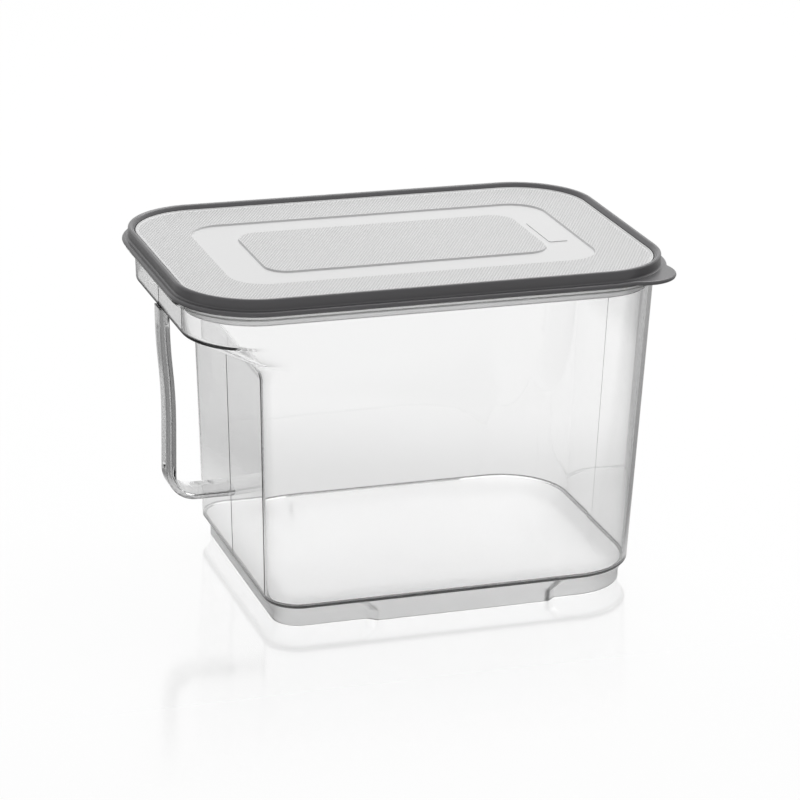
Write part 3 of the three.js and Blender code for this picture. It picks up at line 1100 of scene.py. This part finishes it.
@dataclass
class LidRim:
    """The dark rim: flange with a round pull tab, raised bead, web under the panel and brim groove."""

    sizes: LidSizes
    tab_radius: float = 18.0
    tab_set_back: float = 2.8
    tab_blend: float = 0.8
    tab_blend_reach: float = 3.0
    tab_blend_share: float = 0.25
    edge_share: float = 0.3
    corner_steps: int = 60
    arc_steps: int = 8

    def flange_pairs(self) -> list[Pair]:
        """Gives the section of the flange, which the tab widens.

        Returns:
            Pairs of inset and rise.
        """
        edge = self.sizes.flange_edge
        cut = self.edge_share * edge
        crown = corner(edge, self.sizes.flange_thick - edge, edge, QUARTER, self.arc_steps)
        return [(edge, 0.0), (cut, cut), (0.0, edge)] + crown[::-1]

    def bead_pairs(self) -> list[Pair]:
        """Gives the section of the bead, from its foot over its crown to the panel's pocket.

        Returns:
            Pairs of inset and rise.
        """
        size = self.sizes
        fillet = size.flange_fillet
        foot_in = size.flange_reach - fillet
        pairs = corner(foot_in, size.flange_thick + fillet, fillet, -QUARTER, self.arc_steps)
        crown = size.flange_reach + size.bead_outer
        lift = size.bead_height - size.bead_outer
        pairs += corner(crown, lift, size.bead_outer, QUARTER, self.arc_steps)[::-1]
        run = size.bead_width - size.bead_outer
        for step in range(1, self.arc_steps + 1):
            share = step / self.arc_steps
            pairs.append((crown + run * share, size.bead_height - size.bead_drop * share * share))
        pairs.append((size.pocket, size.web))
        return pairs

    def web_pairs(self) -> list[Pair]:
        """Gives the section of the web under the panel and of the groove for the brim.

        Returns:
            Pairs of inset and rise.
        """
        size = self.sizes
        web_end = size.plug_outer - size.gap
        roof = size.upstand + size.gap
        groove = size.body_inset - size.gap
        return [(web_end, size.web), (web_end, roof), (groove, roof), (groove, 0.0)]

    def with_tab(self, ring: list[Vector], inset: float) -> list[Vector]:
        """Widens a ring of the flange round the pull tab.

        Args:
            ring: The ring's places.
            inset: How far it lies inside the lid's edge.

        Returns:
            The widened places.
        """
        size = self.sizes
        centre = Vector((size.half_length - size.radius + size.shift, size.radius - size.half_width, 0.0))
        disc = Vector((
            size.half_length - self.tab_set_back - self.tab_radius + size.shift,
            self.tab_radius - size.half_width,
            0.0,
        ))
        reach = self.tab_radius - inset
        offset = disc - centre
        widened = []
        for spot in ring:
            away = Vector((spot.x - centre.x, spot.y - centre.y, 0.0))
            corner_side = away.x > 0 and away.y < 0
            ray = away.normalized()
            along = ray.dot(offset)
            across = offset.length_squared - along * along
            room = reach * reach - across
            if not corner_side or room <= 0:
                widened.append(spot)
                continue
            far = along + math.sqrt(room)
            near = away.length
            ease = math.exp(-abs(far - near) / self.tab_blend)
            soft = self.tab_blend * (math.log1p(ease) - ease * self.tab_blend_share)
            blended = far > near - self.tab_blend_reach * self.tab_blend
            length = max(far, near) + soft if blended else near
            widened.append(Vector((centre.x + ray.x * length, centre.y + ray.y * length, spot.z)))
        return widened

    def build(self, rubber: Material) -> bpy.types.Object:
        """Moulds the rim.

        Args:
            rubber: Its dark elastomer.

        Returns:
            The rim.
        """
        steps = self.corner_steps
        rings = []
        for inset, rise in self.flange_pairs():
            rings.append(self.with_tab(self.sizes.ring(inset, rise, steps=steps), inset))
        for inset, rise in self.bead_pairs() + self.web_pairs():
            rings.append(self.sizes.ring(inset, rise, steps=steps))
        mesh = bmesh.new()
        raise_skin(mesh, rings, closed=True)
        return finished_piece("lid_seal_rim", mesh, [rubber], Body.LID, Slot.RIM, "lid_rim")


@dataclass
class LidPanel:
    """The light panel: raised lip, studded band, smooth sunk band, studded plateau and a small bare plate."""

    sizes: LidSizes
    lip_rise: float = 0.6
    lip_width: float = 0.7
    lip_fillet: float = 0.9
    lip_shares: tuple[Pair, ...] = ((0.0, 0.5), (0.15, 0.85), (0.45, 1.0), (1.0, 1.0))
    lip_fillet_shares: Pair = (0.4, 0.3)
    recess: Shape = (92.5, 50.0, 17.0)
    plateau: Shape = (72.5, 33.0, 12.0)
    drop: float = 1.0
    step_run: float = 0.5
    step_round: float = 0.18
    plate_length: float = 10.0
    plate_width: float = 34.0
    plate_rise: float = 0.4
    plate_centre: float = 81.3
    plate_round: float = 1.5
    plate_round_steps: int = 6
    plate_edge: float = 0.15
    plate_edge_steps: int = 2

    def build(self, smooth: Material, studded: Material, milky: Material) -> bpy.types.Object:
        """Moulds the panel.

        Args:
            smooth: The plastic of its smooth faces.
            studded: The plastic of its studded faces.
            milky: The thin plastic of its plug.

        Returns:
            The panel.
        """
        size = self.sizes
        edge = size.pocket + size.gap
        top = size.panel_top
        low = top - self.drop
        run = self.step_run
        turn = self.step_round
        under = size.web
        inside = edge + self.lip_width
        fillet_run, fillet_rise = self.lip_fillet_shares
        outer = [
            (2 * run, under, self.plateau),
            (0.0, under - self.drop, self.plateau),
            (0.0, under - self.drop, self.recess),
            (-run, under, self.recess),
            (edge, under),
            *((edge + across * self.lip_width, top + up * self.lip_rise) for across, up in self.lip_shares),
            (inside + fillet_run * self.lip_fillet, top + fillet_rise * self.lip_rise),
            (inside + self.lip_fillet, top),
        ]
        inner = [
            (-run - turn, top, self.recess),
            (-run, top - turn / 2, self.recess),
            (0.0, low, self.recess),
            (0.0, low, self.plateau),
            (run, top - turn / 2, self.plateau),
            (run + turn, top, self.plateau),
        ]
        bands = [0] * (len(outer) + len(inner))
        bands[len(outer) - 1] = 1
        bands[-1] = 1
        mesh = bmesh.new()
        raise_skin(mesh, [size.ring(*row) for row in outer + inner], closed=False, finishes=bands)
        for face in raise_skin(mesh, [size.ring(*pair) for pair in self.plug_pairs()], closed=True):
            face.material_index = 2
        self.add_plate(mesh, low)
        finishes = [smooth, studded, milky]
        return finished_piece("lid_top_panel", mesh, finishes, Body.LID, Slot.PANEL, "lid_panel")

    def plug_pairs(self) -> list[Pair]:
        """Gives the section of the plug under the panel, with its two sealing lips.

        Returns:
            Pairs of inset and rise.
        """
        size = self.sizes
        outer = size.plug_outer
        inner = outer + size.plug_thick
        root = size.web + size.panel_thick / 2
        lip = size.lip_height
        touch = size.body_inset + size.body_wall + size.gap
        pairs = [
            (inner, root),
            (inner, lip - size.plug_depth),
            (inner - lip / 2, -size.plug_depth),
            (outer + lip / 2, -size.plug_depth),
            (outer, lip - size.plug_depth),
        ]
        for order in (1, 0):
            middle = -size.lip_first - order * size.lip_pitch
            pairs += [
                (outer, middle - lip / 2),
                (touch + size.lip_lead, middle - size.lip_flat),
                (touch, middle),
                (touch + size.lip_lead, middle + size.lip_flat),
                (outer, middle + lip / 2),
            ]
        pairs.append((outer, root))
        return pairs

    def add_plate(self, mesh: Mesh, low: float) -> None:
        """Adds the small bare plate on the smooth band.

        Args:
            mesh: The panel's mesh.
            low: The rise of the smooth band.
        """
        size = self.sizes
        sunk = self.drop / 2
        tall = self.plate_rise + sunk
        centre = Vector((self.plate_centre + size.shift, 0.0, size.seat + low - sunk + tall / 2)) * MM
        scale = Vector((self.plate_length, self.plate_width, tall)) * MM
        placed = Matrix.Translation(centre) @ Matrix.Diagonal(scale).to_4x4()
        made = bmesh.ops.create_cube(mesh, size=1.0, matrix=placed)
        edges = {edge for vert in made["verts"] for edge in vert.link_edges}
        upright = [e for e in edges if abs(e.verts[0].co.z - e.verts[1].co.z) > tall * MM / 2]
        round_edges(mesh, upright, self.plate_round, self.plate_round_steps)
        crown = [e for e in mesh.edges if all(self.on_plate_top(v, centre, scale) for v in e.verts)]
        round_edges(mesh, crown, self.plate_edge, self.plate_edge_steps)

    @staticmethod
    def on_plate_top(vert: Vert, centre: Vector, scale: Vector) -> bool:
        """Says whether a vertex lies on the plate's upper face."""
        near = abs(vert.co.x - centre.x) <= scale.x and abs(vert.co.y) <= scale.y
        return near and abs(vert.co.z - (centre.z + scale.z / 2)) < TOUCH_GAP * MM


# The studio


@dataclass
class Studio:
    """A white floor, one big softbox and a long-lens camera at the photograph's angle.

    The camera's offset and the lid's seat are in millimetres, its focal length and image width in pixels
    of the photograph, and all other lengths in metres.
    """

    azimuth: float = -18.79
    elevation: float = 19.61
    roll: float = 1.27
    focal: float = 3238.17
    image: float = 800.0
    sensor: float = 36.0
    offset: tuple[float, float, float] = (-3.85, -72.92, 1595.8)
    lid_seat: float = 164.0
    clip_end: float = 60.0
    half_width: float = 0.072
    floor_radius: float = 9.0
    floor_segments: int = 96
    ambient: float = 0.36
    run_left: float = 0.12
    run_right: float = 0.114
    run_spread: float = 0.078
    run_blur: float = 0.05
    run_past: float = 0.16
    run_near: float = 0.1
    run_far: float = 0.24
    painted_shadow_share: float = 0.76
    run_front: float = 0.05
    run_front_blur: float = 0.12
    run_front_share: float = 0.85
    floor_shade: str = WHITE
    floor_glow: float = 0.93
    floor_glow_through: float = 0.6
    pool_glow: float = 0.97
    pool_left: float = -0.07
    pool_right: float = 0.113
    pool_front: float = -0.046
    pool_back: float = 0.1
    pool_blur: float = 0.009
    floor_roughness: float = 0.11
    floor_ior: float = 2.3
    gloss_near: float = 0.03
    gloss_far: float = 0.16
    lamp_spot: tuple[float, float, float] = (0.5, 0.75, 1.5)
    lamp_aim: tuple[float, float, float] = (0.0, 0.0, 0.1)
    lamp_side: float = 1.5
    lamp_power: float = 24.0

    def build_camera(self, shift: float) -> None:
        """Sets the camera up.

        Args:
            shift: How far the box is moved along its length, in millimetres.
        """
        around, up_angle, turn = (math.radians(v) for v in (self.azimuth, self.elevation, self.roll))
        back = Vector((
            math.sin(around) * math.cos(up_angle),
            -math.cos(around) * math.cos(up_angle),
            math.sin(up_angle),
        ))
        right = Vector((math.cos(around), math.sin(around), 0.0))
        up = back.cross(right)
        side = right * math.cos(turn) + up * math.sin(turn)
        top = up * math.cos(turn) - right * math.sin(turn)
        across, down, away = self.offset
        spot = (back * away - side * across + top * down + Vector((shift, 0.0, self.lid_seat))) * MM
        data = bpy.data.cameras.new("long_lens")
        data.sensor_width = self.sensor
        data.lens = self.focal * self.sensor / self.image
        data.clip_end = self.clip_end
        camera = add_object("long_lens", data)
        turned = Matrix((side, top, back)).transposed().to_4x4()
        camera.matrix_world = Matrix.Translation(spot) @ turned
        bpy.context.scene.camera = camera
        LOG.info("camera: %.0f mm lens", data.lens)

    def build_floor(self) -> None:
        """Lays the floor, a sheet of white gloss acrylic."""
        mesh = bmesh.new()
        bmesh.ops.create_circle(mesh, cap_ends=True, radius=self.floor_radius, segments=self.floor_segments)
        data = bpy.data.meshes.new("studio_floor")
        mesh.to_mesh(data)
        mesh.free()
        data.materials.append(self.acrylic_sheet())
        add_object("studio_floor", data)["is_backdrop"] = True

    @staticmethod
    def seen_directly(tree: Tree) -> Socket:
        """Tells what the camera sees, also in gloss and through clear plastic, from soft light.

        Args:
            tree: The tree of the sheet or the room.

        Returns:
            One for what is seen, and zero for soft light.
        """
        path = add_node(tree, "LightPath")
        seen = path.outputs["Is Camera Ray"]
        for ray in ("Is Glossy Ray", "Is Transmission Ray"):
            seen = add_node(tree, "Math", LARGER, [seen, path.outputs[ray]]).outputs[0]
        return seen

    def painted_shade_run(self, tree: Tree) -> Socket:
        """Gives one on the bright run of the sheet behind and before the box, and less at its sides.

        Only gloss and clear plastic show the difference. The dark sides are painted shade in place of dark
        flags, which the studio doesn't have, and the sheet is dimmer close behind the box: a painted shadow.

        Args:
            tree: The sheet's tree.

        Returns:
            The share of full white.
        """
        place = add_node(tree, "TexCoord").outputs["Object"]
        turn = (0.0, 0.0, -math.radians(self.azimuth))
        turned = add_node(tree, "Mapping", inputs={"Vector": place, "Rotation": turn})
        axes = add_node(tree, "SeparateXYZ", inputs=[turned])
        depth = axes.outputs["Y"]
        shares = []
        # Painted shade: the sheet darkens past the sides of the box, for gloss and clear plastic only
        for sign, half in ((-1.0, self.run_left), (1.0, self.run_right)):
            side = add_node(tree, "Math", TIMES_PLUS, [axes.outputs["X"], sign, -half])
            past = add_node(tree, "Math", TIMES_PLUS, [depth, -self.run_spread, side])
            fade = [past, 0.0, self.run_blur, 1.0, self.run_past]
            shares.append(add_node(tree, "MapRange", SMOOTH, fade))
        both = add_node(tree, "Math", {"operation": "MINIMUM"}, shares)
        # Painted shadow: the sheet is dimmer close behind the box
        climb = [depth, self.run_near, self.run_far, self.painted_shadow_share, 1.0]
        run = add_node(tree, "Math", TIMES, [both, add_node(tree, "MapRange", SMOOTH, climb)])
        front_end = -self.run_front - self.run_front_blur
        front = [depth, -self.run_front, front_end, 0.0, self.run_front_share]
        open_run = add_node(tree, "Math", LARGER, [run, add_node(tree, "MapRange", SMOOTH, front)])
        camera_ray = add_node(tree, "LightPath").outputs["Is Camera Ray"]
        return add_node(tree, "Math", LARGER, [camera_ray, open_run]).outputs[0]

    def gloss_share(self, tree: Tree) -> Socket:
        """Gives how glossy the sheet is: fully so round the box, and less and less in front of it.

        Args:
            tree: The sheet's tree.

        Returns:
            The share of its full gloss.
        """
        place = add_node(tree, "TexCoord").outputs["Object"]
        depth = add_node(tree, "SeparateXYZ", inputs=[place]).outputs["Y"]
        climb = [depth, -self.half_width - self.gloss_far, -self.half_width - self.gloss_near, 0.0, 1.0]
        return add_node(tree, "MapRange", SMOOTH, climb).outputs[0]

    def painted_glow_pool(self, tree: Tree) -> Socket:
        """Gives a painted pool of light: the sheet glows brighter right under the box, with no lamp there,
        soft at its border.

        Args:
            tree: The sheet's tree.

        Returns:
            The share of full white.
        """
        place = add_node(tree, "TexCoord").outputs["Object"]
        axes = add_node(tree, "SeparateXYZ", inputs=[place])
        sides = []
        spans = (("X", self.pool_left, self.pool_right), ("Y", self.pool_front, self.pool_back))
        for axis, low, high in spans:
            middle = (low + high) / 2
            half = (high - low) / 2
            reach = add_node(tree, "Math", {"operation": "SUBTRACT"}, [axes.outputs[axis], middle])
            away = add_node(tree, "Math", {"operation": "ABSOLUTE"}, [reach])
            fade = [away, half - self.pool_blur, half + self.pool_blur, 1.0, 0.0]
            sides.append(add_node(tree, "MapRange", SMOOTH, fade))
        both = add_node(tree, "Math", TIMES, sides)
        return add_node(tree, "Math", TIMES, [both, self.pool_glow]).outputs[0]

    def acrylic_sheet(self) -> Material:
        """Makes the floor's white acrylic: pale, with part of the soft shadow and a blurred reflection.

        It carries painted shade at its sides, a painted shadow close behind the box and a painted pool of
        light under it.

        Returns:
            The finished material.
        """
        material, tree = new_material("white_acrylic_sheet")
        # The painted pool of light under the box lifts the sheet's glow there
        pool_share = self.painted_glow_pool(tree)
        run = add_node(tree, "Math", LARGER, [self.painted_shade_run(tree), pool_share])
        shades = {0: run, 6: linear(BLACK), 7: linear(self.floor_shade)}
        shade = add_node(tree, "Mix", COLOURS, shades)
        lit = add_node(tree, "BsdfDiffuse", inputs=[shade.outputs[2]])
        pale = add_node(tree, "Emission", inputs=[linear(WHITE), run])
        camera_ray = add_node(tree, "LightPath").outputs["Is Camera Ray"]
        glows = [camera_ray, 0.0, 1.0, self.floor_glow_through, self.floor_glow]
        glow_with_pool = add_node(tree, "Math", LARGER, [add_node(tree, "MapRange", inputs=glows), pool_share])
        share = add_node(tree, "Math", TIMES, [self.seen_directly(tree), glow_with_pool])
        sheet = add_node(tree, "MixShader", inputs=[share, lit, pale])
        # Its gloss mirrors the box softly, and more so where it is seen at a low angle
        gloss = add_node(tree, "BsdfGlossy", inputs=[linear(WHITE), self.floor_roughness])
        edge = add_node(tree, "Fresnel", inputs=[self.floor_ior])
        glaze = add_node(tree, "Math", TIMES, [edge, self.gloss_share(tree)])
        glazed = add_node(tree, "MixShader", inputs=[glaze, sheet, gloss])
        add_node(tree, "OutputMaterial", inputs=[glazed])
        return material

    def build_world(self) -> None:
        """Fills the room with even white light, plain white wherever it is seen directly."""
        world = bpy.data.worlds.new("white_room")
        bpy.context.scene.world = world
        world.use_nodes = True
        tree = world.node_tree
        tree.nodes.clear()
        levels = {0: self.seen_directly(tree), 2: self.ambient, 3: 1.0}
        strength = add_node(tree, "Mix", {"data_type": "FLOAT"}, levels)
        glow = add_node(tree, "Background", inputs=[linear(WHITE), strength])
        add_node(tree, "OutputWorld", inputs=[glow])

    def hang_softbox(self) -> None:
        """Hangs the one soft lamp high over the back right, facing the box."""
        data = bpy.data.lights.new("overhead_softbox", "AREA")
        data.shape = "SQUARE"
        data.size = self.lamp_side
        data.energy = self.lamp_power
        lamp = add_object("overhead_softbox", data)
        spot = Vector(self.lamp_spot)
        lamp.rotation_mode = "QUATERNION"
        lamp.location = spot
        lamp.rotation_quaternion = (Vector(self.lamp_aim) - spot).to_track_quat("-Z", "Y")

    def build(self, shift: float) -> None:
        """Builds the whole studio.

        Args:
            shift: How far the box is moved along its length, in millimetres.
        """
        bpy.context.scene.view_settings.view_transform = "Standard"
        self.build_floor()
        self.build_world()
        self.build_camera(shift)
        self.hang_softbox()


def corners_of(box: Sequence[Sequence[float]]) -> list[list[float]]:
    """Turns a box's two corners into plain lists."""
    return [[float(v) for v in spot] for spot in box]


def main() -> None:
    """Builds every piece round the frame."""
    logging.basicConfig(level=logging.INFO)
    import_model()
    cad_box = corners_of(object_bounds())
    # All places along the box are measured from the lid's middle
    low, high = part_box("lid_panel")
    shift = (low.x + high.x) / 2 / MM
    shell = ClearShell(shift=shift)
    clear = ClearStyrene(
        "clear_styrene",
        etched_level=shell.floor_under + shell.etch_margin,
        painted_line_level=shell.floor_under + shell.floor_thick / 2,
    )
    # The strap's plastic is tinted greyer than the shell's: painted shade for the strap's darker look
    painted_grey_strap_styrene = ClearStyrene("clear_styrene_strap", tint="#E2E2E2")
    smooth = MouldedPolypropylene("satin_polypropylene", shade="#D9D9D9")
    studded = MouldedPolypropylene("studded_polypropylene", stud_pitch=1.4)
    milky = MouldedPolypropylene("milky_polypropylene", shade="#F4F4F4", clear_share=0.8)
    lid = LidSizes(shift=shift)
    pieces = [
        shell.build(clear.build()),
        StrapHandle(shell).build(painted_grey_strap_styrene.build()),
        LidRim(lid).build(SatinElastomer().build()),
        LidPanel(lid).build(smooth.build(), studded.build(), milky.build()),
    ]
    for piece in pieces:
        LOG.info("%s: %d faces", piece.name, len(piece.data.polygons))
    Studio().build(shift)
    boxes = {"cad": cad_box, "visual": corners_of(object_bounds())}
    LOG.info("cad box %s, visual box %s", boxes["cad"], boxes["visual"])


if __name__ == "__main__":
    main()
